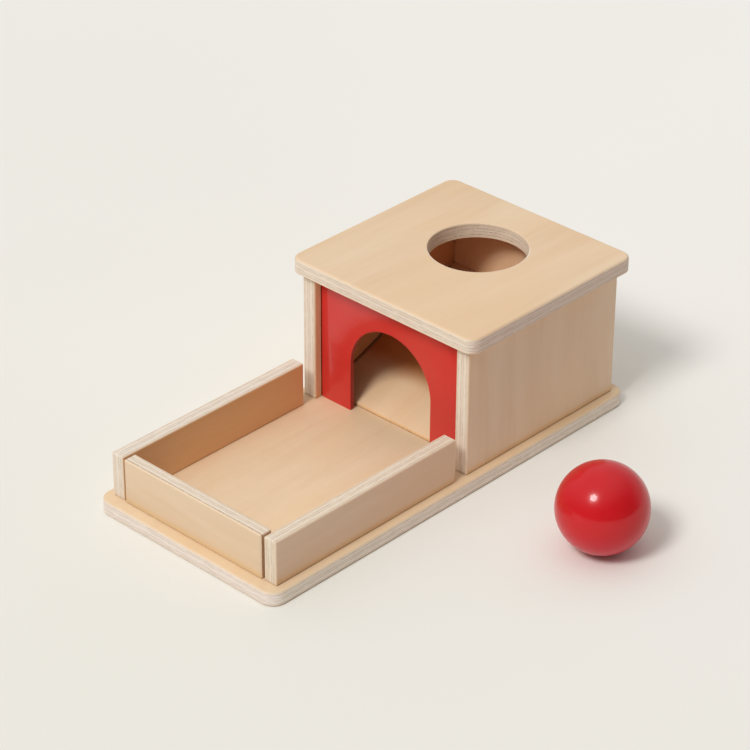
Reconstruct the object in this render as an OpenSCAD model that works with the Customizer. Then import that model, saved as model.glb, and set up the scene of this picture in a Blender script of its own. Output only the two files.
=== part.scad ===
// Object permanence box: a ball dropped through the hole in the top rolls down
// the ramp inside, out through the arch and into the tray.
// The origin is the middle of the underside of the base. +Y runs from the tray
// to the box, +X is the right-hand side seen from the tray, +Z is up.

/* [Base board] */
// Length of the base
base_len = 295; // [280:1:400]
// Width of the base
base_w = 140; // [120:1:200]
// Thickness of the base
base_t = 9; // [6:0.5:15]
// Radius of the base's plan corners
base_corner_r = 8.6; // [4:0.1:20]
// Radius that eases the edges of the base
base_ease_r = 1.2; // [0.5:0.1:2]
// Radius that eases the edges of the walls and the rails
small_ease_r = 1; // [0.3:0.1:1.5]

/* [Tray] */
// Margin of the base round the walls and the side rails
side_margin = 5.4; // [2:0.1:10]
// Margin of the base in front of the side rails
front_margin = 7.8; // [3:0.1:20]
// Height of the three rails above the base
rail_h = 28.2; // [22:0.1:45]
// Thickness of the side rails
rail_t = 9.2; // [6:0.1:12]
// Thickness of the end rail
end_t = 8.5; // [6:0.1:12]
// Gap between each end of the end rail and the side rail
end_gap = 1.6; // [0.5:0.1:5]
// How far the end rail stands proud of the side rails' ends
end_proud = 0.7; // [0:0.1:3]

/* [Box walls] */
// Margin of the base behind the box
back_margin = 7.3; // [3:0.1:20]
// Length of the side walls, front to back
wall_len = 128.7; // [120:0.1:150]
// Gap between the side walls and the side rails
rail_gap = 9.2; // [2:0.1:12]
// Height of the walls, from the base to the top board
wall_h = 82.3; // [75:0.1:120]
// Thickness of the side walls
wall_t = 9.5; // [8:0.5:15]
// Thickness of the back wall
back_t = 8.5; // [8:0.5:15]

/* [Arch panel] */
// Thickness of the arch panel
panel_t = 3; // [2.5:0.5:6]
// How far the panel is set back from the front ends of the side walls
panel_recess = 5.1; // [3:0.1:10]
// Depth of the grooves in the side walls that hold the panel
groove_depth = 3.5; // [1.5:0.1:4.5]
// Width of the arch doorway
arch_w = 62.8; // [58:0.2:80]
// Height of the doorway's straight sides
arch_side_h = 31.9; // [20:0.1:35]

/* [Top board] */
// Thickness of the top board
top_t = 9.4; // [8:0.1:15]
// Overhang of the top beside each side wall
side_overhang = 6.4; // [1:0.1:15]
// Overhang of the top in front of the side walls
front_overhang = 4.5; // [1:0.1:9]
// Overhang of the top behind the side walls
back_overhang = 6.2; // [1:0.1:15]
// Radius of the top's plan corners
top_corner_r = 7.6; // [4:0.1:20]
// Radius that eases the upper edge of the top
top_ease_r = 1.8; // [0.5:0.1:2.5]
// Radius that eases the lower edge of the top
under_ease_r = 0.5; // [0.3:0.1:1.5]
// Diameter of the drop hole
hole_d = 59; // [56:0.5:70]
// Distance from the hole's centre to the back edge of the top
hole_from_back = 55.7; // [46:0.1:80]
// Radius that eases the rim of the hole
hole_ease_r = 0.8; // [0.3:0.1:2]

/* [Ramp] */
// Slope of the ramp, in degrees
ramp_slope = 21.5; // [12:0.5:25]
// Thickness of the ramp board
ramp_t = 6; // [4:0.5:8]
// Height of the blunt nose at the ramp's low end
ramp_nose_h = 2.6; // [1:0.1:4]
// Gap between the arch panel and the ramp's nose
ramp_gap = 3.3; // [0.5:0.1:5]
// Length of the cleat under the ramp's high end
cleat_len = 80; // [40:1:100]
// Depth of the cleat, front to back
cleat_depth = 10; // [6:0.5:15]
// Height of the cleat's front face
cleat_h = 12; // [8:0.5:20]

/* [Ball] */
// Diameter of the ball
ball_d = 52.9; // [45:0.1:55]
// Gap between the base's right edge and the ball
ball_side_gap = 60.8; // [10:0.1:120]
// How far the ball lies behind the middle of the base's length
ball_offset = 19.1; // [-100:0.1:100]

/* [Screws and dowels] */
// Length of the screws
screw_len = 22; // [18:1:28]
// Diameter of the screw shank
screw_d = 3; // [2.5:0.1:3.5]
// Diameter of the countersunk head
screw_head_d = 6; // [5:0.1:7]
// Height of the head's cone
screw_head_h = 2; // [1.5:0.1:2.5]
// Length of the screw's point
screw_point = 3; // [2:0.5:5]
// How deep the heads lie below the underside of the base
screw_sink = 0.6; // [0.3:0.1:2]
// Distance from the screws to the ends of a side wall or a side rail
screw_inset = 22; // [12:1:40]
// Distance between the two screws in the back wall and in the end rail
screw_pair = 60; // [40:1:90]
// Diameter of the dowels
dowel_d = 6; // [4:0.5:6]
// Length of the dowels
dowel_len = 20; // [14:1:30]
// Depth that the dowels reach into the top board
dowel_top_depth = 5; // [3:0.5:6]
// Chamfer at the dowels' ends
dowel_chamfer = 0.8; // [0.3:0.1:1.5]
// Distance from the dowels to the ends of a side wall
dowel_inset = 35; // [30:1:50]
// Distance between the two dowels in the back wall
dowel_pair = 50; // [30:1:80]

/* [Hidden] */
$fn = 96;

// clearance between boards that fit between or inside others
fit = 0.1;
// play at a dowel's or screw's blind end
end_play = 0.6;
// how far every cut runs past the face that it leaves
over = 1;

// levels, from the underside up
base_top = base_t;
wall_top = base_top + wall_h;

// places along the length
base_front = -base_len / 2;
rail_front = base_front + front_margin;
box_back = base_len / 2 - back_margin;
box_front = box_back - wall_len;
rail_back = box_front - rail_gap;
rail_len = rail_back - rail_front;
back_front = box_back - back_t;
panel_front = box_front + panel_recess;
panel_back = panel_front + panel_t;
top_front = box_front - front_overhang;
top_back = box_back + back_overhang;
hole_y = top_back - hole_from_back;

// places across the width
side_x = base_w / 2 - side_margin;
wall_mid_x = side_x - wall_t / 2;
rail_mid_x = side_x - rail_t / 2;
box_inner_w = 2 * (side_x - wall_t);
tray_inner_w = 2 * (side_x - rail_t);
top_w = 2 * (side_x + side_overhang);
end_len = tray_inner_w - 2 * end_gap;
end_front = rail_front - end_proud;

// the ramp's section
ramp_front = panel_back + ramp_gap;
ramp_back = back_front - fit;
ramp_plumb_t = ramp_t / cos(ramp_slope);
ramp_high = ramp_nose_h + (ramp_back - ramp_front) * tan(ramp_slope);
ramp_toe = ramp_front + (ramp_plumb_t - ramp_nose_h) / tan(ramp_slope);
cleat_back_h = cleat_h + cleat_depth * tan(ramp_slope);

// fasteners
screw_in_wood = screw_len + screw_sink - base_t;
wall_screw_ys = [box_front + screw_inset, box_back - screw_inset];
rail_screw_ys = [rail_front + screw_inset, rail_back - screw_inset];
back_mid_y = back_front + back_t / 2;
end_mid_y = end_front + end_t / 2;
box_screw_places = concat(
    [for (s = [-1, 1]) for (y = wall_screw_ys) [s * wall_mid_x, y]],
    [for (s = [-1, 1]) [s * screw_pair / 2, back_mid_y]]);
tray_screw_places = concat(
    [for (s = [-1, 1]) for (y = rail_screw_ys) [s * rail_mid_x, y]],
    [for (s = [-1, 1]) [s * screw_pair / 2, end_mid_y]]);
dowel_places = concat(
    [for (s = [-1, 1]) for (y = [box_front + dowel_inset, box_back - dowel_inset]) [s * wall_mid_x, y]],
    [for (s = [-1, 1]) [s * dowel_pair / 2, back_mid_y]]);
dowel_bottom = wall_top + dowel_top_depth - dowel_len;

ball_x = base_w / 2 + ball_side_gap + ball_d / 2;

// Helpers

// rectangle with round corners, about its centre
module round_rect(w, h, r) {
    square([w - 2 * r, h], center = true);
    square([w, h - 2 * r], center = true);
    for (x = [-1, 1])
        for (y = [-1, 1])
            translate([x * (w / 2 - r), y * (h / 2 - r)])
                circle(r);
}

// section of a board's border, r wide and t thick, its outer edges eased by low and high
module border_section(r, t, low, high) {
    square([r - low, t / 2]);
    translate([0, t / 2]) square([r - high, t / 2]);
    translate([0, low]) square([r, t - low - high]);
    translate([r - low, low]) corner_arc(low);
    translate([r - high, t - high]) corner_arc(high);
}

// outer half of a circle, which rounds a corner
module corner_arc(e) {
    intersection() {
        circle(e);
        translate([0, -e]) square([e, 2 * e]);
    }
}

// flat board about its centre, plan corners of radius r, lower and upper edges eased
module eased_board(w, l, t, r, low, high) {
    translate([r - w / 2, r - l / 2, 0])
        cube([w - 2 * r, l - 2 * r, t]);
    for (turn = [0, 180])
        rotate([0, 0, turn]) {
            translate([w / 2 - r, l / 2 - r, 0])
                rotate_extrude(angle = 90) border_section(r, t, low, high);
            translate([r - w / 2, l / 2 - r, 0])
                rotate([0, 0, 90]) rotate_extrude(angle = 90) border_section(r, t, low, high);
            translate([w / 2 - r, l / 2 - r, 0])
                rotate([90, 0, 0]) linear_extrude(l - 2 * r) border_section(r, t, low, high);
            translate([r - w / 2, l / 2 - r, 0])
                rotate([90, 0, 90]) linear_extrude(w - 2 * r) border_section(r, t, low, high);
        }
}

// block standing on z = 0 about its plan centre, every edge eased by e
module eased_block(w, l, h, e) {
    intersection() {
        linear_extrude(h) round_rect(w, l, e);
        translate([0, l / 2, h / 2]) rotate([90, 0, 0]) linear_extrude(l) round_rect(w, h, e);
        translate([-w / 2, 0, h / 2]) rotate([90, 0, 90]) linear_extrude(w) round_rect(l, h, e);
    }
}

// countersunk screw, its head at z = 0 and its point up
module screw() {
    rotate_extrude() polygon([
        [0, 0],
        [screw_head_d / 2, 0],
        [screw_d / 2, screw_head_h],
        [screw_d / 2, screw_len - screw_point],
        [0, screw_len]]);
}

// hole through the base for one screw
module screw_way() {
    head_r = screw_head_d / 2 + fit;
    shank_r = screw_d / 2 + fit;
    rotate_extrude() polygon([
        [0, -over],
        [head_r, -over],
        [head_r, screw_sink],
        [shank_r, screw_sink + screw_head_h],
        [shank_r, base_t + over],
        [0, base_t + over]]);
}

// pilot hole above the base for one screw
module screw_pilot() {
    translate([0, 0, base_top - over])
        cylinder(d = screw_d + 2 * fit, h = screw_in_wood + end_play + over);
}

module dowel() {
    body = dowel_len - 2 * dowel_chamfer;
    tip_r = dowel_d / 2 - dowel_chamfer;
    rotate_extrude() polygon([
        [0, 0],
        [tip_r, 0],
        [dowel_d / 2, dowel_chamfer],
        [dowel_d / 2, dowel_chamfer + body],
        [tip_r, dowel_len],
        [0, dowel_len]]);
}

// room for a dowel, with play at both ends
module dowel_way() {
    translate([0, 0, -end_play])
        cylinder(d = dowel_d + 2 * fit, h = dowel_len + 2 * end_play);
}

// extrudes a section drawn in y and z along x, about x = 0
module across(w) {
    translate([-w / 2, 0, 0]) rotate([90, 0, 90]) linear_extrude(w) children();
}

// Pieces

module base_board() {
    color("burlywood") difference() {
        eased_board(base_w, base_len, base_t, base_corner_r, base_ease_r, base_ease_r);
        for (p = concat(box_screw_places, tray_screw_places))
            translate([p[0], p[1], 0]) screw_way();
    }
}

// side wall on the +X side, side = -1 mirrors its place
module side_wall(side) {
    groove_w = panel_t + 2 * fit;
    color("wheat") difference() {
        translate([side * wall_mid_x, (box_front + box_back) / 2, base_top])
            eased_block(wall_t, wall_len, wall_h, small_ease_r);
        translate([side * box_inner_w / 2, panel_front - fit, base_top - over])
            translate([-groove_depth, 0, 0])
                cube([2 * groove_depth, groove_w, wall_h + 2 * over]);
        for (p = box_screw_places)
            translate([p[0], p[1], 0]) screw_pilot();
        for (p = dowel_places)
            translate([p[0], p[1], dowel_bottom]) dowel_way();
    }
}

module left_wall() side_wall(-1);
module right_wall() side_wall(1);

module back_wall() {
    color("wheat") difference() {
        translate([0, back_mid_y, base_top])
            eased_block(box_inner_w - 2 * fit, back_t, wall_h, small_ease_r);
        for (p = box_screw_places)
            translate([p[0], p[1], 0]) screw_pilot();
        for (p = dowel_places)
            translate([p[0], p[1], dowel_bottom]) dowel_way();
    }
}

module arch_panel() {
    panel_w = box_inner_w + 2 * (groove_depth - fit);
    color("firebrick")
        translate([0, panel_back, base_top])
            rotate([90, 0, 0]) linear_extrude(panel_t) difference() {
                translate([-panel_w / 2, 0]) square([panel_w, wall_h - fit]);
                translate([-arch_w / 2, -over]) square([arch_w, arch_side_h + over]);
                translate([0, arch_side_h]) circle(d = arch_w);
            }
}

// ring that, cut away, eases the upper rim of the drop hole
module hole_rim_cut() {
    hole_r = hole_d / 2;
    rotate_extrude() difference() {
        translate([hole_r - over, -hole_ease_r])
            square([hole_ease_r + over, hole_ease_r + over]);
        translate([hole_r + hole_ease_r, -hole_ease_r]) circle(hole_ease_r);
    }
}

module top_board() {
    color("burlywood") difference() {
        translate([0, (top_front + top_back) / 2, wall_top])
            eased_board(top_w, top_back - top_front, top_t, top_corner_r, under_ease_r, top_ease_r);
        translate([0, hole_y, wall_top - over]) cylinder(d = hole_d, h = top_t + 2 * over);
        translate([0, hole_y, wall_top + top_t]) hole_rim_cut();
        for (p = dowel_places)
            translate([p[0], p[1], dowel_bottom]) dowel_way();
    }
}

module ball_ramp() {
    color("tan")
        translate([0, 0, base_top]) across(box_inner_w - 2 * fit) polygon([
            [ramp_front, 0],
            [ramp_toe, 0],
            [ramp_back, ramp_high - ramp_plumb_t],
            [ramp_back, ramp_high],
            [ramp_front, ramp_nose_h]]);
}

// glue block on the back wall, its sloping top under the ramp
module ramp_cleat() {
    high = ramp_high - ramp_plumb_t;
    drop = cleat_depth * tan(ramp_slope);
    color("tan")
        translate([0, 0, base_top]) across(cleat_len) polygon([
            [ramp_back - cleat_depth, high - drop - cleat_h],
            [back_front, high - drop - cleat_h],
            [back_front, high],
            [ramp_back, high],
            [ramp_back - cleat_depth, high - drop]]);
}

module side_rail(side) {
    color("wheat") difference() {
        translate([side * rail_mid_x, (rail_front + rail_back) / 2, base_top])
            eased_block(rail_t, rail_len, rail_h, small_ease_r);
        for (p = tray_screw_places)
            translate([p[0], p[1], 0]) screw_pilot();
    }
}

module left_rail() side_rail(-1);
module right_rail() side_rail(1);

module end_rail() {
    color("wheat") difference() {
        translate([0, end_mid_y, base_top])
            eased_block(end_len, end_t, rail_h, small_ease_r);
        for (p = tray_screw_places)
            translate([p[0], p[1], 0]) screw_pilot();
    }
}

module ball() {
    color("red") translate([ball_x, ball_offset, ball_d / 2]) sphere(d = ball_d);
}

module box_screws() {
    color("silver")
        for (p = box_screw_places)
            translate([p[0], p[1], screw_sink]) screw();
}

module tray_screws() {
    color("silver")
        for (p = tray_screw_places)
            translate([p[0], p[1], screw_sink]) screw();
}

module top_dowels() {
    color("tan")
        for (p = dowel_places)
            translate([p[0], p[1], dowel_bottom]) dowel();
}

base_board();
left_wall();
right_wall();
back_wall();
arch_panel();
top_board();
ball_ramp();
ramp_cleat();
left_rail();
right_rail();
end_rail();
ball();
box_screws();
tray_screws();
top_dowels();
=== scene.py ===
import math

import bpy
from mathutils import Matrix, Vector


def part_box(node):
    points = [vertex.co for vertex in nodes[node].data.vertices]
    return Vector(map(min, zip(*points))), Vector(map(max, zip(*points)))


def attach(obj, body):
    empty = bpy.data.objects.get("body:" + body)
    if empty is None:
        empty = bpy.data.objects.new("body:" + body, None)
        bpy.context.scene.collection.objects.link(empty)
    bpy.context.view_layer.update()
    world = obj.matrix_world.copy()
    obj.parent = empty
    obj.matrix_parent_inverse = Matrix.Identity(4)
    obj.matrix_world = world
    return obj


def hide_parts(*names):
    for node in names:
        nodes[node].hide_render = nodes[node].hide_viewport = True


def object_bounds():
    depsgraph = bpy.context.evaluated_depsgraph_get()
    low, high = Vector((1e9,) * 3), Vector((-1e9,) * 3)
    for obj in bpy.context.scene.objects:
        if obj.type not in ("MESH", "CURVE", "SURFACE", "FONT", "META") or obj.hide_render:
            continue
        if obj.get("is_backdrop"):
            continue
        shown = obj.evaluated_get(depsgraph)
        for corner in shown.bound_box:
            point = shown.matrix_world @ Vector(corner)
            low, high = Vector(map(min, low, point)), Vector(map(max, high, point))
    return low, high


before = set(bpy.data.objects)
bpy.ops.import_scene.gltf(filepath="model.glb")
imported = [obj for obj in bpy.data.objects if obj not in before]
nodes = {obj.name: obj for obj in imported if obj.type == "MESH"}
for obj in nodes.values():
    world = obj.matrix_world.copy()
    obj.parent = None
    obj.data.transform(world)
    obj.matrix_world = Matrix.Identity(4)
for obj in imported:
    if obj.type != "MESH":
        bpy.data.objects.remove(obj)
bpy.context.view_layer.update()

# One millimetre, in Blender's metres.
MM = 0.001
X, Y, Z = 0, 1, 2

# Where the camera stands: its turn, rise and roll in degrees, its distance and its steps to the
# side and up in metres.
CAMERA_TURN = 43.380603
CAMERA_RISE = 30.995133
CAMERA_ROLL = 0.310447
CAMERA_DISTANCE = 1.682206
CAMERA_SIDE_STEP = 0.003161
CAMERA_UP_STEP = 0.045846
LENS_MM = 139.78
SENSOR_MM = 36.0

# The round key light over the tray end: its place and, for its bright middle and its soft rim, the
# width in metres and the power.
KEY_PLACE = (0.249, -3.152, 3.861)
KEY_WIDTHS = (1.4, 2.4)
KEY_WATTS = (108.0, 28.0)

# How strong the sky is on its dim side and overhead, how far it leans to the left, and what the far
# wall adds.
SKY_DIM = 0.121
SKY_BRIGHT = 0.78
SKY_LEAN = 0.4
SKY_BACK = 0.46

# The floor's width in metres, and its sweep as the camera sees it: the level, what the far side
# adds and the right side takes, and how much bluer it is as a whole and towards the far side.
FLOOR_WIDTH = 24.0
SWEEP_LEVEL = 1.009
SWEEP_FAR = 0.31
SWEEP_RIGHT = 0.06
SWEEP_BLUE = 0.008
SWEEP_FAR_BLUE = 0.06


def tone(red, green, blue):
    """A colour given as in a paint chart, from 0 to 255, as the linear colour that a shader takes."""
    parts = [c / 255 for c in (red, green, blue)]
    return [c / 12.92 if c <= 0.04045 else ((c + 0.055) / 1.055) ** 2.4 for c in parts] + [1.0]


# Finishes


class Number:
    """A number that changes over a surface. Sums written with it add their Math nodes."""

    def __init__(self, finish, socket):
        self.finish = finish
        self.socket = socket

    def sum_of(self, operation, *values):
        return self.finish.node("Math", {"operation": operation}, dict(enumerate(values)))

    def __add__(self, other):
        return self.sum_of("ADD", self, other)

    def __radd__(self, other):
        return self.sum_of("ADD", other, self)

    def __sub__(self, other):
        return self.sum_of("SUBTRACT", self, other)

    def __rsub__(self, other):
        return self.sum_of("SUBTRACT", other, self)

    def __mul__(self, other):
        return self.sum_of("MULTIPLY", self, other)

    def __rmul__(self, other):
        return self.sum_of("MULTIPLY", other, self)

    def __pow__(self, other):
        return self.sum_of("POWER", self, other)

    def __mod__(self, other):
        return self.sum_of("FLOORED_MODULO", self, other)

    def __abs__(self):
        return self.sum_of("ABSOLUTE", self)

    def __gt__(self, other):
        return self.sum_of("GREATER_THAN", self, other)

    def __lt__(self, other):
        return self.sum_of("LESS_THAN", self, other)

    def others(self):
        """The node's outputs by name."""
        return {out.name: Number(self.finish, out) for out in self.socket.node.outputs}

    def floor(self):
        return self.sum_of("FLOOR", self)

    def lesser(self, other):
        return self.sum_of("MINIMUM", self, other)

    def greater(self, other):
        return self.sum_of("MAXIMUM", self, other)

    def rise(self, start, end):
        """0 below start, 1 above end and a soft step between them."""
        settings = {"interpolation_type": "SMOOTHSTEP"}
        return self.finish.node("MapRange", settings, {0: self, 1: start, 2: end, 3: 0.0, 4: 1.0})


class Finish:
    """A node tree for one material, or for the studio's sky."""

    def __init__(self, name, tree=None):
        if tree is None:
            self.material = bpy.data.materials.new(name)
            self.material.use_nodes = True
            tree = self.material.node_tree
        self.tree = tree
        self.tree.nodes.clear()

    def node(self, kind, settings=None, inputs=None, output=0):
        made = self.tree.nodes.new("ShaderNode" + kind)
        for key, value in (settings or {}).items():
            setattr(made, key, value)
        for key, value in (inputs or {}).items():
            if isinstance(value, Number):
                self.tree.links.new(value.socket, made.inputs[key])
            else:
                made.inputs[key].default_value = value
        return None if output is None else Number(self, made.outputs[output])

    def mix(self, share, first, second, how="MIX"):
        settings = {"data_type": "RGBA", "blend_type": how}
        return self.node("Mix", settings, {0: share, 6: first, 7: second}, 2)

    def tint(self, share, colour, chart_tint):
        """The colour, dyed with a tint on a share of the surface."""
        return self.mix(share, colour, tone(*chart_tint), "MULTIPLY")

    def parts(self, vector):
        separate = self.node("SeparateXYZ", None, {0: vector})
        return [Number(self, out) for out in separate.socket.node.outputs]

    def noise(self, x, y, z, detail=2.0, rough=0.5):
        place = self.node("CombineXYZ", None, {0: x, 1: y, 2: z})
        inputs = {"Vector": place, "Scale": 1.0, "Detail": detail, "Roughness": rough}
        return self.node("TexNoise", None, inputs)

    def even_noise(self, place, waves, detail=2.0):
        """Noise that is the same in every direction, with so many waves to the millimetre."""
        return self.noise(*[value * waves for value in place], detail)

    def place_mm(self, centre=(0, 0, 0), turn=(0, 0, 0)):
        """The place in millimetres from a piece's centre, along its own sides."""
        here = self.node("TexCoord", None, None, "Object")
        inputs = {"Vector": here, "Location": centre, "Rotation": turn, "Scale": (MM, MM, MM)}
        return self.parts(self.node("Mapping", {"vector_type": "TEXTURE"}, inputs))

    def facing(self, turn=(0, 0, 0)):
        """How far the surface faces along each of the piece's own axes, from -1 to 1."""
        inputs = {"Vector": self.node("TexCoord", None, None, "Normal"), "Rotation": turn}
        return self.parts(self.node("Mapping", {"vector_type": "TEXTURE"}, inputs))

    def bump(self, strength, depth_mm, height):
        inputs = {"Strength": strength, "Distance": depth_mm * MM, "Height": height}
        return self.node("Bump", None, inputs)

    def surface(self, plain, varying):
        """Ends the material with a Principled shader, its plain values and its varying ones."""
        shader = self.node("BsdfPrincipled", None, {**plain, **varying})
        self.node("OutputMaterial", None, {"Surface": shader}, None)
        return self.material


# Every board is glued up from five plies.
PLIES = 5

# The ramp's slope, and how high its front edge stands.
RAMP_SLOPE = math.radians(21.5)
RAMP_NOSE = 2.6 * MM

# Colours of the wood: the face veneer, light to dark, and what the cut plies show. Then a brown for
# dark dots in a hole's glue joints, which also paints the contact shadow in corners. Then a brown for
# glue lines, which also paints the shade in the seam under the ramp's front. Last, the painted shade
# in the joint beside the ramp.
FACE_LIGHT = tone(236, 212, 181)
FACE_MID = tone(232, 205, 172)
FACE_DARK = tone(225, 194, 157)
FACE_BLUSH = tone(234, 201, 162)
PLY_PALE = tone(243, 230, 214)
PLY_TAN = tone(227, 210, 190)
PLY_GLUE = tone(176, 152, 132)
JOINT_DOT_AND_CORNER_SHADE_BROWN = tone(104, 60, 30)
GLUE_AND_SEAM_SHADE_BROWN = tone(150, 102, 66)
JOINT_SHADE = tone(48, 26, 14)

# The two tones that each of the other finishes lies between, the painted shade of the panel's back
# and of the sides of its doorway, and the painted reflection of the floor on the ball's underside.
BEECH = (tone(232, 203, 168), tone(208, 170, 128))
RED_PAINT = (tone(213, 40, 36), tone(218, 46, 41))
RED_LACQUER = (tone(201, 20, 28), tone(206, 24, 32))
ZINC = (tone(205, 205, 208), tone(172, 172, 176))
WARM_WHITE = (tone(243, 240, 232), tone(241, 238, 229))
PAINT_BEHIND_SHADE = tone(150, 28, 22)
PAINT_ON_JAMB_SHADE = tone(168, 22, 16)
LACQUER_UNDER_REFLECTION = tone(206, 34, 58)

# Tints, which dye a colour and leave it alone at 255: one above a foot, painted light that makes a
# hole's wall paler, and painted shade, with which the faces inside the box and the tray are deeper.
AS_IS = (255, 255, 255)
FOOT_TINT = (255, 247, 222)
BORE_LIGHT_TINT = (263, 257, 249)
INSIDE_SHADE_TINT = (254, 222, 192)
DEEPER_INSIDE_SHADE_TINT = (204, 146, 98)

# How strongly each mark in the wood shows, from 0 to 1.
OUTER_PLY_SHOWS = 0.34
JOINT_SHOWS = 0.54
PORE_SHOWS = 0.30
BLUSH_SHOWS = 0.55
FLECK_SHOWS = 0.13
BORE_DOTS_SHOW = 0.75
PALE_RIM_SHOWS = 0.8
# painted shade in the joint over the ramp
RAMP_JOINT_SHADE_SHOWS = 0.75

# Where the line of a glue joint fades, from its middle, in shares of a ply.
JOINT_FADE = (0.02, 0.19)

# Measures in mm: how far the plies wander; the fades of a hole's wall and of its rim past the
# hole's radius, and of the rim's pale side across its middle; the wander and the fade of an outer
# veneer, and the fade of the glue behind it; the fade of the tint above a foot, and where the painted
# shadow line in a corner starts; the height of the painted shade over the ramp's joint, its fade to
# each side and its end along Y.
PLY_WANDER = 0.9
BORE_WALL_FADE = (0.3, 1.2)
BORE_RIM_FADE = (0.7, 1.0)
PALE_RIM_SIDE_FADE = (-8.0, 12.0)
VENEER_WANDER = 0.3
VENEER_FADE = 0.2
VENEER_GLUE_FADE = (0.35, 0.6)
FOOT_FADE = (0.5, 6.0)
CORNER_START = 0.15
RAMP_JOINT_RISE = 0.6
RAMP_JOINT_FADE = (0.4, 1.2)
RAMP_JOINT_END = (70.0, 86.0)


class Board(Finish):
    """Birch plywood on one board, measured in mm along its grain, across it and through its plies."""

    def __init__(self, name, low, high, thick, grain, seed, turn):
        super().__init__(name)
        axes = (grain, 3 - thick - grain, thick)
        self.seed = seed
        self.centre = [(a + b) / 2 for a, b in zip(low, high)]
        self.thickness = (high[thick] - low[thick]) / MM
        self.place = self.place_mm(self.centre, turn)
        self.along, self.across, self.depth = [self.place[axis] for axis in axes]
        self.faces = self.facing(turn)
        self.faces_end, self.faces_side, self.faces_out = [self.faces[axis] for axis in axes]

    def past(self, axis, start=0.0):
        """How many mm the surface lies past a place that is given in metres in the whole box."""
        return self.place[axis] + (self.centre[axis] - start) / MM

    def cut_plies(self):
        """A cut edge, where each ply has its grain square to its neighbours'."""
        along, across, depth, seed = self.along, self.across, self.depth, self.seed
        self.sway = self.noise(along * 0.03 + seed, across * 0.03, depth * 0.1, 3.0, 0.6) - 0.5
        level = (depth + self.thickness / 2 + self.sway * PLY_WANDER) * (PLIES / self.thickness)
        level = level.greater(0.05).lesser(PLIES - 0.05)
        ply = level.floor()
        within = level - ply
        crossed = ply % 2
        cut_end = crossed * abs(self.faces_side) + (1 - crossed) * abs(self.faces_end)
        outer = abs(level - PLIES / 2).rise(PLIES / 2 - 1.1, PLIES / 2 - 0.6)

        # the glue between two plies, which shows as a broken line
        to_joint = within.lesser(1 - within)
        inner = (level > 0.5) * (level < PLIES - 0.5)
        broken = self.noise(along * 0.11 + seed, across * 0.11, depth * 0.8, 2.0).rise(0.35, 0.65)
        self.joint = (1 - to_joint.rise(*JOINT_FADE)) * inner * broken

        # streaks along each ply's grain, soft patches, and pores in the ends of the grain
        long_streak = self.noise(along * 0.22 + ply * 3.7, across * 1.3, depth * 2.3 + seed, 3.0, 0.6)
        cross_streak = self.noise(along * 1.3 + seed, across * 0.22 + ply * 5.1, depth * 2.3, 3.0, 0.6)
        self.streak = crossed * cross_streak + (1 - crossed) * long_streak
        mottle = self.noise(along * 0.28 + seed, across * 0.28, depth * 1.3, 3.0, 0.6)
        pores = self.noise(along * 3.4, across * 3.4 + seed, depth * 3.4, 1.0)
        self.pore = pores.rise(0.60, 0.74) * cut_end

        tan = (1 - cut_end) * 0.45 + (self.streak - 0.5) * 2.3 + (mottle - 0.5) * 1.2 + 0.25
        cut = self.mix(tan.rise(0.0, 1.0), PLY_PALE, PLY_TAN)
        cut = self.mix(outer * OUTER_PLY_SHOWS, cut, FACE_MID)
        cut = self.mix(self.joint * JOINT_SHOWS, cut, PLY_GLUE)
        return self.mix(self.pore * PORE_SHOWS, cut, PLY_GLUE)

    def bore_zones(self, bore):
        """The wall of a round hole, and the side of its rim that is paler, to the right and the tray.
        """
        from_x, from_y = self.past(X, bore[0]), self.past(Y, bore[1])
        past_radius = (from_x ** 2 + from_y ** 2) ** 0.5 - bore[2] / MM
        in_bore = 1 - past_radius.rise(*BORE_WALL_FADE)
        near_rim = (1 - past_radius.rise(*BORE_RIM_FADE)) * self.faces_out.rise(0.1, 0.5)
        return in_bore, near_rim * (from_x - from_y).rise(*PALE_RIM_SIDE_FADE)

    def bore_light_dots_and_rim(self, cut, in_bore, on_rim):
        """Painted light that makes the hole's wall paler, with dark dots in its joints, and a pale rim
        on one side.
        """
        # painted light: the hole's wall is made paler
        cut = self.tint(in_bore, cut, BORE_LIGHT_TINT)
        dots = self.noise(self.along * 1.1, self.across * 1.1 + self.seed, self.depth * 1.1, 1.0)
        dots = dots.rise(0.50, 0.62)
        cut = self.mix(in_bore * self.joint * dots * BORE_DOTS_SHOW, cut, JOINT_DOT_AND_CORNER_SHADE_BROWN)
        # the rim is paler on its side towards the right and the tray
        return self.mix(on_rim * PALE_RIM_SHOWS, cut, PLY_PALE)

    def veneer_line(self, cut, veneer):
        """The outer ply of that many mm, with a ragged brown line of glue behind it."""
        behind = self.depth + self.thickness / 2 + self.sway * VENEER_WANDER
        ragged = self.noise(self.along * 0.3 + self.seed, self.across * 0.5, 0.0, 3.0, 0.7)
        ragged = ragged.rise(0.32, 0.60)
        past_veneer = behind.rise(veneer - VENEER_FADE, veneer)
        past_glue = behind.rise(*[veneer + fade for fade in VENEER_GLUE_FADE])
        cut = self.mix(1 - past_veneer, cut, FACE_LIGHT)
        return self.mix(past_veneer * (1 - past_glue) * (0.14 + ragged * 0.48), cut, GLUE_AND_SEAM_SHADE_BROWN)

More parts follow.
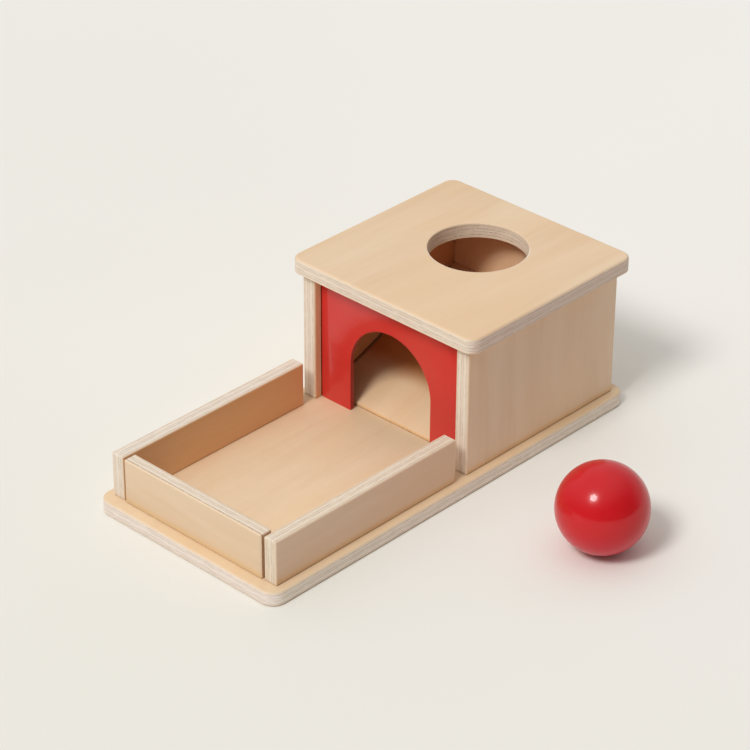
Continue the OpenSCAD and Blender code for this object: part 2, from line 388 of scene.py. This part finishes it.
    def face_veneer(self, figure):
        """The face, peeled from the log: long bands or small patches, lines, fibres and flecks."""
        along, across, depth, seed = self.along, self.across, self.depth, self.seed
        drift = self.noise(across * 0.018 + seed, along * 0.006, depth * 0.2 + seed, 2.0)
        band = self.noise(across * 0.048 + drift * 1.4 + seed, along * 0.0055, seed, 2.0)
        patch = self.noise(across * 0.11 + seed, along * 0.07, seed, 3.0, 0.6)
        self.line = self.noise(across * 0.34 + drift * 2.0, along * 0.018 + seed, depth * 0.3, 3.0)
        self.fibre = self.noise(across * 2.3, along * 0.12 + seed, depth, 2.0)
        self.fleck = self.noise(across * 2.0 + seed, along * 0.33, depth, 1.0).rise(0.62, 0.76)
        blush = self.noise(across * 0.020 + seed * 1.7, along * 0.009, seed, 2.0).rise(0.35, 0.70)

        warm = (band - 0.5) * 1.8 * figure + (patch - 0.5) * 1.1 * (1 - figure) + 0.5
        warm = warm + (self.line - 0.5) * 0.6 + (self.fibre - 0.5) * 0.25
        veneer = self.mix(warm.rise(0.05, 0.62), FACE_LIGHT, FACE_MID)
        veneer = self.mix(warm.rise(0.45, 1.15), veneer, FACE_DARK)
        veneer = self.mix(blush * BLUSH_SHOWS, veneer, FACE_BLUSH)
        return self.mix(self.fleck * FLECK_SHOWS, veneer, FACE_DARK)

    def inner_face(self, inner_side, inner_area):
        """The face towards the inside of the box or the tray, where a tint paints shade or light."""
        inwards = (self.faces_out * inner_side).rise(0.4, 0.9)
        if inner_area:
            half_width, nearest, furthest, fade = inner_area
            in_width = abs(self.past(X)) < half_width
            in_depth = self.past(Y).rise(nearest, nearest + fade) * (self.past(Y) < furthest)
            inwards = inwards * in_width * in_depth
        return inwards

    def foot_tint_and_contact_shade(self, colour, on_face, stands_at, foot, corner, corner_top):
        """Warmer just above where the board stands, with a painted contact shadow: a dark line in the
        corner itself.
        """
        height = self.place_mm()[Z] - stands_at / MM
        upright = 1 - abs(self.faces[Z]).rise(0.3, 0.7)
        near_foot = (1 - height.rise(*FOOT_FADE)) * min(foot * 2, 1.0) * upright
        colour = self.tint(near_foot * on_face, colour, FOOT_TINT)
        patchy = self.noise(self.along * 0.4 + self.seed, self.across * 0.4, self.depth * 0.4, 2.0)
        patchy = patchy.rise(0.30, 0.60)
        # painted contact shadow: a dark, patchy line in the corner where the board stands
        not_below = self.faces[Z].rise(-0.9, -0.6)
        in_corner_shade = 1 - height.rise(CORNER_START, corner_top)
        return self.mix(in_corner_shade * (0.65 + patchy * 0.35) * foot * not_below, colour, corner)

    def ramp_joint_shade(self, colour, inwards):
        """Painted shade: a dark line on a wall's inside along its joint with the ramp, as far as the
        doorway shows it.
        """
        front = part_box("ball_ramp")[0]
        ramp_top = self.past(Y, front.y) * math.tan(RAMP_SLOPE) + (front.z + RAMP_NOSE) / MM
        off_line = abs(self.past(Z) - ramp_top - RAMP_JOINT_RISE)
        seen_part = 1 - self.past(Y).rise(*RAMP_JOINT_END)
        # painted shade: a dark band on the wall just above the ramp
        in_joint_shade = (1 - off_line.rise(*RAMP_JOINT_FADE)) * inwards * seen_part
        return self.mix(in_joint_shade * RAMP_JOINT_SHADE_SHOWS, colour, JOINT_SHADE)


def board_finish(name, low, high, thick, grain, seed, turn=(0, 0, 0), face=AS_IS, edge=AS_IS,
                 ends=AS_IS, sides=AS_IS, inside=AS_IS, inner_side=1, inner_area=None,
                 edge_ends=(0.55, 0.92), figure=1.0, bore=None, front_veneer=None, foot=0.5,
                 stands_at=None, corner=JOINT_DOT_AND_CORNER_SHADE_BROWN, corner_top=0.95, beside_ramp=False):
    """Birch plywood for a board with its corners at low and high, in metres.

    thick and grain are its axes through the plies and along the grain, seed shifts its pattern, and
    turn is its own slope. face, edge, ends and sides tint its faces, all its cut edges, and those at
    the ends of the grain and beside it. inside tints the face towards inner_side with painted shade
    or painted light, limited by inner_area: a half width, two places along Y and the fade at the
    first, in mm. edge_ends is how far the surface faces out where the cut plies stop and where the
    face is whole. figure is the share of long bands in the face, next to small patches. bore is a
    round hole's middle and radius in metres, whose wall is made paler with painted light, and
    front_veneer the thickness in mm of an outer ply that a brown glue line follows. foot is how dark
    the painted contact shadow is where the board stands, corner its colour, corner_top its height in
    mm and stands_at the height in metres that it starts from, if that isn't the board's lowest.
    beside_ramp gives a wall painted shade along its joint with the ramp."""
    board = Board(name, low, high, thick, grain, seed, turn)
    on_face = abs(board.faces_out).rise(*edge_ends)

    cut = board.tint(1.0, board.cut_plies(), edge)
    in_bore, on_rim = board.bore_zones(bore) if bore else (0.0, 0.0)
    for tint, faces in ((ends, board.faces_end), (sides, board.faces_side)):
        if tint != AS_IS:
            cut = board.tint(abs(faces).rise(0.3, 0.9) * (1 - in_bore), cut, tint)
    if front_veneer:
        cut = board.veneer_line(cut, front_veneer)
    if bore:
        cut = board.bore_light_dots_and_rim(cut, in_bore, on_rim)
        on_face = on_face * (1 - on_rim)

    veneer = board.tint(1.0, board.face_veneer(figure), face)
    if inside != AS_IS:
        inwards = board.inner_face(inner_side, inner_area)
        veneer = board.tint(inwards, veneer, inside)
    colour = board.mix(on_face, cut, veneer)
    if stands_at is None:
        stands_at = low[Z]
    colour = board.foot_tint_and_contact_shade(colour, on_face, stands_at, foot, corner, corner_top)
    if beside_ramp:
        colour = board.ramp_joint_shade(colour, inwards)

    on_cut = 1 - on_face
    rough = 0.50 + (board.fibre - 0.5) * 0.10 + on_cut * 0.12
    relief = on_face * (board.fibre * 0.35 + board.line * 0.2 - board.fleck * 0.15)
    relief = relief + on_cut * (board.streak * 0.6 - board.joint * 0.8 - board.pore * 0.8)
    plain = {"IOR": 1.45, "Specular IOR Level": 0.45}
    varying = {"Base Color": colour, "Roughness": rough, "Normal": board.bump(0.25, 0.10, relief)}
    return board.surface(plain, varying)


def plain_wood_finish(name, low, high, grain):
    """Solid beech for the dowels and the cleat."""
    finish = Finish(name)
    place = finish.place_mm([(a + b) / 2 for a, b in zip(low, high)])
    along = place[grain]
    side, deep = [place[axis] for axis in (X, Y, Z) if axis != grain]
    ring = finish.noise(side * 0.35, deep * 0.35, along * 0.02, 2.0)
    fibre = finish.noise(side * 2.4, deep * 2.4, along * 0.10, 2.0)
    warm = (ring - 0.5) * 1.2 + (fibre - 0.5) * 0.5 + 0.5
    plain = {"IOR": 1.45, "Specular IOR Level": 0.4}
    varying = {
        "Base Color": finish.mix(warm.rise(0.1, 0.9), *BEECH),
        "Roughness": 0.55 + (fibre - 0.5) * 0.1,
        "Normal": finish.bump(0.2, 0.08, fibre)}
    return finish.surface(plain, varying)


def red_paint_finish():
    """Satin paint, rolled on a thin sheet, with painted shade that makes it deeper on its back and on
    the sides of the doorway.
    """
    finish = Finish("satin_red_paint")
    place = finish.place_mm()
    facing_y = finish.facing()[Y]
    cloud = finish.even_noise(place, 0.03)
    stipple = finish.even_noise(place, 1.3)
    on_jamb = (1 - abs(facing_y)).rise(0.55, 0.9)
    colour = finish.mix(cloud.rise(0.3, 0.7), *RED_PAINT)
    # painted shade: the back of the sheet, inside the box, is a deeper red
    colour = finish.mix(facing_y.rise(0.4, 0.9), colour, PAINT_BEHIND_SHADE)
    # painted shade: the sides of the doorway and the sheet's other edges are a deeper red
    colour = finish.mix(on_jamb, colour, PAINT_ON_JAMB_SHADE)
    plain = {"IOR": 1.5, "Specular IOR Level": 0.3, "Coat Roughness": 0.13, "Coat IOR": 1.5}
    varying = {
        "Base Color": colour,
        "Roughness": 0.48 + (stipple - 0.5) * 0.08,
        "Normal": finish.bump(0.08, 0.05, stipple),
        "Coat Weight": 0.62 - on_jamb * 0.52}
    return finish.surface(plain, varying)


def red_lacquer_finish():
    """Glossy lacquer on the turned ball, with a fine orange peel, and a painted reflection of the
    floor that makes its underside a shade bluer.
    """
    finish = Finish("glossy_red_lacquer")
    place = finish.place_mm()
    cloud = finish.even_noise(place, 0.05)
    peel = finish.even_noise(place, 1.1)
    under = 1 - finish.facing()[Z].rise(-0.75, 0.05)
    colour = finish.mix(cloud.rise(0.3, 0.7), *RED_LACQUER)
    # painted reflection: the underside takes a bluer red, as if it mirrored the floor
    colour = finish.mix(under * 0.8, colour, LACQUER_UNDER_REFLECTION)
    plain = {
        "IOR": 1.45, "Specular IOR Level": 0.15, "Coat IOR": 1.64, "Coat Roughness": 0.10,
        "Coat Weight": 0.36}
    varying = {
        "Base Color": colour,
        "Roughness": 0.28 + peel * 0.04,
        "Normal": finish.bump(0.60, 0.05, peel)}
    return finish.surface(plain, varying)


def steel_finish():
    """Zinc-plated steel of the screws."""
    finish = Finish("zinc_plated_steel")
    grime = finish.even_noise(finish.place_mm(), 0.8, 3.0)
    varying = {
        "Base Color": finish.mix(grime.rise(0.3, 0.75), *ZINC),
        "Roughness": 0.30 + grime * 0.15,
        "Normal": finish.bump(0.1, 0.03, grime)}
    return finish.surface({"Metallic": 1.0}, varying)


# Pieces


def put_down():
    bpy.ops.object.select_all(action="DESELECT")


def take(piece):
    put_down()
    piece.select_set(True)
    bpy.context.view_layer.objects.active = piece


def settle(piece):
    """The piece's place, turn and size go into its mesh."""
    take(piece)
    bpy.ops.object.transform_apply(location=True, rotation=True, scale=True)


def cut_with(piece, cutter):
    """Takes the cutter's shape out of the piece, and puts the cutter away."""
    take(piece)
    change = piece.modifiers.new("cut", "BOOLEAN")
    change.operation = "DIFFERENCE"
    change.solver = "EXACT"
    change.object = cutter
    bpy.ops.object.modifier_apply(modifier=change.name)
    bpy.data.objects.remove(cutter)


def ease(piece, width, segments=3, angle=30):
    """Rounds the edges that are sharper than the angle, in degrees."""
    take(piece)
    change = piece.modifiers.new("ease", "BEVEL")
    change.width = width
    change.segments = segments
    change.limit_method = "ANGLE"
    change.angle_limit = math.radians(angle)
    bpy.ops.object.modifier_apply(modifier=change.name)
    bpy.ops.object.shade_smooth_by_angle(angle=math.radians(40))


def finish_piece(piece, material, body, slot, *replaced):
    piece.data.materials.clear()
    piece.data.materials.append(material)
    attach(piece, body)
    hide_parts(*replaced)


def new_block(name, low, high):
    centre = [(a + b) / 2 for a, b in zip(low, high)]
    size = [b - a for a, b in zip(low, high)]
    put_down()
    bpy.ops.mesh.primitive_cube_add(size=1, location=centre, scale=size)
    block = bpy.context.object
    block.name = name
    settle(block)
    return block


def red_arch_panel():
    """The painted sheet with its doorway, all its edges softened by the paint."""
    half_door = 31.4 * MM
    door_side = 31.9 * MM
    overrun = 5 * MM
    gap_width = 0.5 * MM
    gap_depth = 1.0 * MM
    edge_round = 0.35 * MM
    low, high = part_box("arch_panel")
    panel = new_block("red_arch_panel", low, high)
    spring = low.z + door_side
    doorway = new_block(
        "doorway", (-half_door, low.y - overrun, low.z - overrun),
        (half_door, high.y + overrun, spring))
    put_down()
    bpy.ops.mesh.primitive_cylinder_add(
        vertices=128, radius=half_door, depth=high.y - low.y + 2 * overrun,
        location=(0, (low.y + high.y) / 2, spring), rotation=(math.radians(90), 0, 0))
    arch = bpy.context.object
    settle(arch)
    cut_with(panel, doorway)
    cut_with(panel, arch)
    # set back along both sides, so that a dark line shows beside the walls
    inner_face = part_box("right_wall")[0].x
    for side in (-1, 1):
        start, end = sorted((side * (inner_face - gap_width), side * (high.x + overrun)))
        cut_with(panel, new_block(
            "rebate", (start, low.y - overrun, low.z - overrun),
            (end, low.y + gap_depth, high.z + overrun)))
    ease(panel, edge_round)
    finish_piece(panel, red_paint_finish(), "box", "red_paint", "arch_panel")


def ramp_board():
    """The board that the ball rolls down, cut from a block and eased along its edges."""
    thickness = 6.0 * MM
    edge_round = 0.35 * MM
    low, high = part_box("ball_ramp")
    play = Vector((0.6 * MM, 0, 0))
    board = new_block("ramp_board", low + play, high - play)
    up = Vector((0, -math.sin(RAMP_SLOPE), math.cos(RAMP_SLOPE)))
    nose_top = Vector((0, low.y, low.z + RAMP_NOSE))
    take(board)
    bpy.ops.object.mode_set(mode="EDIT")
    bpy.ops.mesh.select_all(action="SELECT")
    bpy.ops.mesh.bisect(plane_co=nose_top, plane_no=up, use_fill=True, clear_outer=True)
    bpy.ops.mesh.select_all(action="SELECT")
    bpy.ops.mesh.bisect(
        plane_co=nose_top - up * thickness, plane_no=up, use_fill=True, clear_inner=True)
    bpy.ops.object.mode_set(mode="OBJECT")
    ease(board, edge_round)
    # the finish is laid out on the board as it lies along its own slope
    middle = (low + high) / 2
    rise = (middle.y - low.y) * math.tan(RAMP_SLOPE) - thickness / math.cos(RAMP_SLOPE) / 2
    middle.z = low.z + RAMP_NOSE + rise
    half = Vector((high.x, (high.y - low.y) / 2, thickness / 2))
    # painted shade: the inside tint darkens the ramp's far part, and the corner line along its front
    # is a painted shadow in the seam on the base
    material = board_finish(
        "ramp_plywood", middle - half, middle + half, Z, Y, 31.0, turn=(RAMP_SLOPE, 0, 0),
        face=(264, 257, 248), inside=(226, 172, 124), inner_area=(70.0, 44.0, 131.5, 18.0),
        edge_ends=(0.20, 0.34), foot=0.68, stands_at=low.z, corner=GLUE_AND_SEAM_SHADE_BROWN, corner_top=1.5)
    finish_piece(board, material, "box", "plywood", "ball_ramp")


def fresh_screw():
    """One countersunk wood screw, its head at the origin and its point up."""
    head_r = 3.0 * MM
    head_h = 2.0 * MM
    shank_r = 1.5 * MM
    length = 22.0 * MM
    point = 3.0 * MM
    recess = 1.5 * MM
    half_blade = 1.7 * MM
    half_slot = 0.32 * MM
    blade_taper = 0.45
    edge_round = 0.08 * MM
    put_down()
    bpy.ops.mesh.primitive_cone_add(
        vertices=48, radius1=head_r, radius2=shank_r, depth=head_h, location=(0, 0, head_h / 2))
    screw = bpy.context.object
    screw.name = "screw"
    settle(screw)
    # the shank and the two steps of the point: how far each rises, and how much narrower it ends
    for rise, size in ((length - point - head_h, 1.0), (point * 0.8, 0.35), (point * 0.2, 0.05)):
        take(screw)
        top = max(v.co.z for v in screw.data.vertices)
        for polygon in screw.data.polygons:
            polygon.select = polygon.center.z > top - 0.01 * MM and polygon.normal.z > 0.9
        bpy.ops.object.mode_set(mode="EDIT")
        bpy.ops.mesh.select_mode(type="FACE")
        bpy.ops.mesh.extrude_region_move(TRANSFORM_OT_translate={"value": (0, 0, rise)})
        bpy.ops.transform.resize(value=(size, size, 1), center_override=(0, 0, top + rise))
        bpy.ops.object.mode_set(mode="OBJECT")
    # the cross recess, narrower at its bottom
    for turn in (0, 90):
        blade = new_block(
            "blade", (-half_blade, -half_slot, -1 * MM), (half_blade, half_slot, recess))
        take(blade)
        for vertex in blade.data.vertices:
            if vertex.co.z > 0:
                vertex.co.x *= blade_taper
        blade.rotation_euler = (0, 0, math.radians(turn))
        settle(blade)
        cut_with(screw, blade)
    ease(screw, edge_round, 2, 35)
    return screw


def screw_set(name, places, sink, *replaced):
    """Copies of one screw at the given places, each stopped at a turn of its own, as one piece."""
    first_turn = 17
    next_turn = 67
    pattern = fresh_screw()
    made = []
    for index, (x, y) in enumerate(places):
        copy = pattern.copy()
        copy.data = pattern.data.copy()
        bpy.context.collection.objects.link(copy)
        copy.rotation_euler = (0, 0, math.radians(first_turn + next_turn * index))
        copy.location = (x, y, sink)
        made.append(copy)
    bpy.data.objects.remove(pattern)
    put_down()
    for copy in made:
        copy.select_set(True)
    bpy.context.view_layer.objects.active = made[0]
    bpy.ops.object.join()
    joined = bpy.context.object
    joined.name = name
    settle(joined)
    finish_piece(joined, steel_finish(), "box", "screw_steel", *replaced)


def all_screws():
    """Two screws under each wall and rail, and two under the board between them."""
    sink = 0.6 * MM
    inset = 22 * MM
    half_pair = 30 * MM
    for name, sides, end, node in (
            ("box_screw_set", ("left_wall", "right_wall"), "back_wall", "box_screws"),
            ("tray_screw_set", ("left_rail", "right_rail"), "end_rail", "tray_screws")):
        places = []
        for side in sides:
            low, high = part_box(side)
            middle_x = (low.x + high.x) / 2
            places += [(middle_x, low.y + inset), (middle_x, high.y - inset)]
        low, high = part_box(end)
        middle_y = (low.y + high.y) / 2
        places += [(-half_pair, middle_y), (half_pair, middle_y)]
        screw_set(name, places, sink, node)


# Each board keeps its solid, and gets a finish of its own.
BOARDS = {
    # the base's foot line is a painted contact shadow along its bottom edge
    "base_board": dict(
        thick=Z, grain=Y, seed=3.0, face=(255, 255, 252), ends=(255, 256, 264),
        sides=(260, 262, 266), edge_ends=(0.28, 0.74), figure=0.55, foot=0.7),
    # the top's underside inside the box is tinted deeper: painted shade
    "top_board": dict(
        thick=Z, grain=Y, seed=11.0, face=(255, 251, 247), sides=(241, 232, 233), inside=DEEPER_INSIDE_SHADE_TINT,
        inner_side=-1, inner_area=(55.0, 17.0, 131.5, 0.1), edge_ends=(0.40, 0.85),
        bore=(0, 0.0907, 0.0295), foot=0.0),
    # the wall's inside face is tinted deeper: painted shade
    "left_wall": dict(
        thick=X, grain=Z, seed=17.0, face=(258, 254, 249), inside=INSIDE_SHADE_TINT,
        inner_area=(70.0, 19.6, 131.5, 0.1), beside_ramp=True),
    # the wall's inside face is tinted deeper: painted shade
    "right_wall": dict(
        thick=X, grain=Z, seed=23.0, face=(256, 250, 253), inside=DEEPER_INSIDE_SHADE_TINT, inner_side=-1, foot=0.6,
        beside_ramp=True),
    # the back wall's inside face is tinted paler: painted light from the hole in the top
    "back_wall": dict(thick=Y, grain=Z, seed=29.0, inside=(270, 256, 244), inner_side=-1),
    # the rail's inside face, towards the tray, is tinted warmer and darker: painted shade with warm
    # bounce light
    "left_rail": dict(
        thick=X, grain=Y, seed=37.0, edge=(251, 251, 251), inside=(255, 230, 204), foot=0.0),
    "right_rail": dict(
        thick=X, grain=Y, seed=41.0, face=(250, 242, 247), edge=(249, 246, 240)),
    "end_rail": dict(
        thick=Y, grain=X, seed=43.0, face=(250, 250, 253), edge=(251, 249, 244),
        ends=(242, 220, 202), front_veneer=0.95),
}
for board, kind in BOARDS.items():
    low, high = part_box(board)
    nodes[board].material_slots[0].material = board_finish(board + "_plywood", low, high, **kind)
for part, grain in (("ramp_cleat", X), ("top_dowels", Z)):
    low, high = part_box(part)
    nodes[part].material_slots[0].material = plain_wood_finish(part + "_beech", low, high, grain)
nodes["ball"].material_slots[0].material = red_lacquer_finish()

red_arch_panel()
ramp_board()
all_screws()


# Stage, light and camera


def pale_floor():
    """A wide floor that lights the box evenly. The camera sees it with a studio's sweep, paler
    towards the far side and the left."""
    put_down()
    bpy.ops.mesh.primitive_circle_add(
        vertices=96, radius=FLOOR_WIDTH / 2, fill_type="NGON", location=(0, 0, 0))
    floor = bpy.context.object
    floor.name = "pale_floor"
    finish = Finish("warm_white_floor")
    x, y = finish.place_mm()[:2]
    cloud = finish.even_noise((x, y, 0.0), 0.002)
    colour = finish.mix(cloud.rise(0.3, 0.7), *WARM_WHITE)
    far = (y * MM).rise(-0.9, 1.5) - 0.33
    right = (x * MM).rise(-1.3, 1.3)
    gain = SWEEP_LEVEL + far * SWEEP_FAR - right * SWEEP_RIGHT
    blue_gain = gain + SWEEP_BLUE + far * SWEEP_FAR_BLUE
    sweep = finish.node("CombineColor", None, {0: gain, 1: gain, 2: blue_gain})
    seen_colour = finish.mix(1.0, colour, sweep, "MULTIPLY")
    rays = finish.node("LightPath").others()
    seen = rays["Is Camera Ray"] + rays["Is Glossy Ray"] + rays["Is Transmission Ray"]
    lit = finish.node("BsdfDiffuse", None, {"Color": colour})
    shown = finish.node("BsdfDiffuse", None, {"Color": seen_colour})
    surface = finish.node("MixShader", None, {0: seen.lesser(1.0), 1: lit, 2: shown})
    finish.node("OutputMaterial", None, {"Surface": surface}, None)
    floor.data.materials.append(finish.material)
    floor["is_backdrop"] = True


def studio_sky():
    """A soft sky: bright overhead and to the left, dim to the right, with a paler far wall."""
    world = bpy.data.worlds.new("studio_sky")
    bpy.context.scene.world = world
    world.use_nodes = True
    sky = Finish("studio_sky", world.node_tree)
    x, y, z = sky.parts(sky.node("TexCoord", None, None, "Generated"))
    overhead = (z - x * SKY_LEAN).rise(0.15, 1.0)
    far_wall = y.rise(0.55, 0.95) * (0.75 - z).rise(0.0, 0.5)
    strength = overhead * (SKY_BRIGHT - SKY_DIM) + far_wall * SKY_BACK + SKY_DIM
    light = sky.node("Background", None, {"Color": tone(255, 255, 255), "Strength": strength})
    sky.node("OutputWorld", None, {"Surface": light}, None)


def key_light():
    """Two round lamps at one place, turned to the box."""
    for name, width, watts in zip(("key_middle", "key_rim"), KEY_WIDTHS, KEY_WATTS):
        lamp = bpy.data.lights.new(name, "AREA")
        lamp.shape = "DISK"
        lamp.size = width
        lamp.energy = watts
        key = bpy.data.objects.new(name, lamp)
        bpy.context.scene.collection.objects.link(key)
        key.location = KEY_PLACE
        key.rotation_mode = "QUATERNION"
        key.rotation_quaternion = Vector(KEY_PLACE).to_track_quat("Z", "Y")


def photo_camera():
    """The camera, looking at the tray and the doorway from the right."""
    turn, rise, roll = (math.radians(a) for a in (CAMERA_TURN, CAMERA_RISE, CAMERA_ROLL))
    back = Vector((
        math.sin(turn) * math.cos(rise), -math.cos(turn) * math.cos(rise), math.sin(rise)))
    level = Vector((math.cos(turn), math.sin(turn), 0))
    upright = back.cross(level)
    side = level * math.cos(roll) + upright * math.sin(roll)
    top = upright * math.cos(roll) - level * math.sin(roll)
    lens = bpy.data.cameras.new("camera")
    lens.lens = LENS_MM
    lens.sensor_width = SENSOR_MM
    lens.clip_start = 0.05
    lens.clip_end = 100
    camera = bpy.data.objects.new("camera", lens)
    bpy.context.scene.collection.objects.link(camera)
    place = back * CAMERA_DISTANCE + side * CAMERA_SIDE_STEP + top * CAMERA_UP_STEP
    turned = Matrix((side, top, back)).transposed().to_4x4()
    camera.matrix_world = Matrix.Translation(place) @ turned
    bpy.context.scene.camera = camera


pale_floor()
studio_sky()
key_light()
photo_camera()
bpy.context.scene.view_settings.view_transform = "Standard"

low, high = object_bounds()
